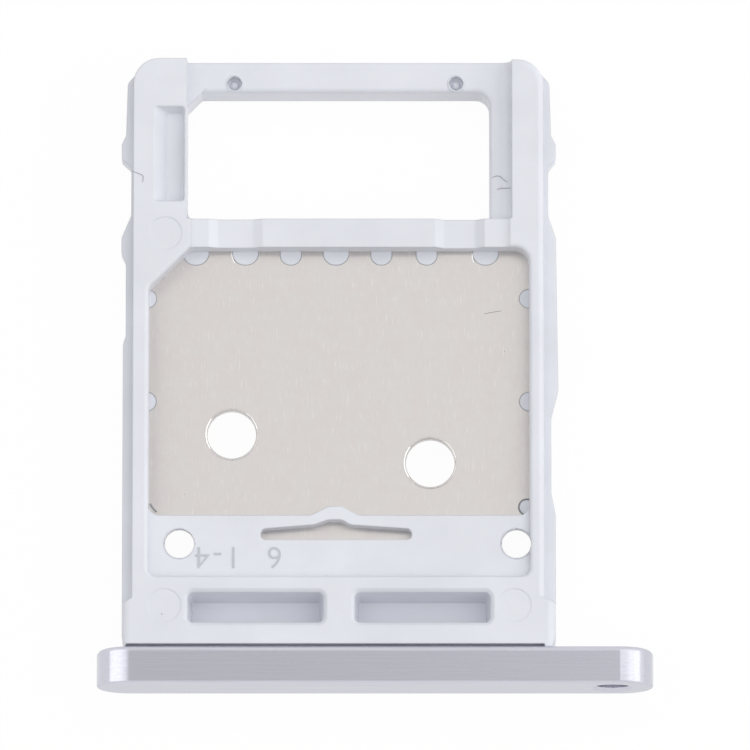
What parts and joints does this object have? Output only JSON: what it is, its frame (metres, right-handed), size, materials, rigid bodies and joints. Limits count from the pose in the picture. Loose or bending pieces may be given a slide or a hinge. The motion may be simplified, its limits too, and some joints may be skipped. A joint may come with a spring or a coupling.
{
  "type": "sim card tray",
  "caption": "Slim card tray: a moulded frame round a steel plate, with a keyed nano card pocket, a memory card pocket below it and a metal face cap with an eject hole.",
  "frame": {"origin": "middle of the part's footprint, at the height of the face cap's lowest edge", "axes": "+X along the face cap towards its eject hole, +Y towards the end that enters the phone first, +Z out of the side that takes the nano card"},
  "size_m": [0.0182, 0.021, 0.0022],
  "materials": {
    "plastic": "satin, moulded",
    "steel": "finely brushed",
    "aluminium": "brushed and anodised"
  },
  "bodies": {
    "root": {"tray_frame": "plastic", "card_plate": "steel", "face_cap": "aluminium"}
  },
  "joints": []
}
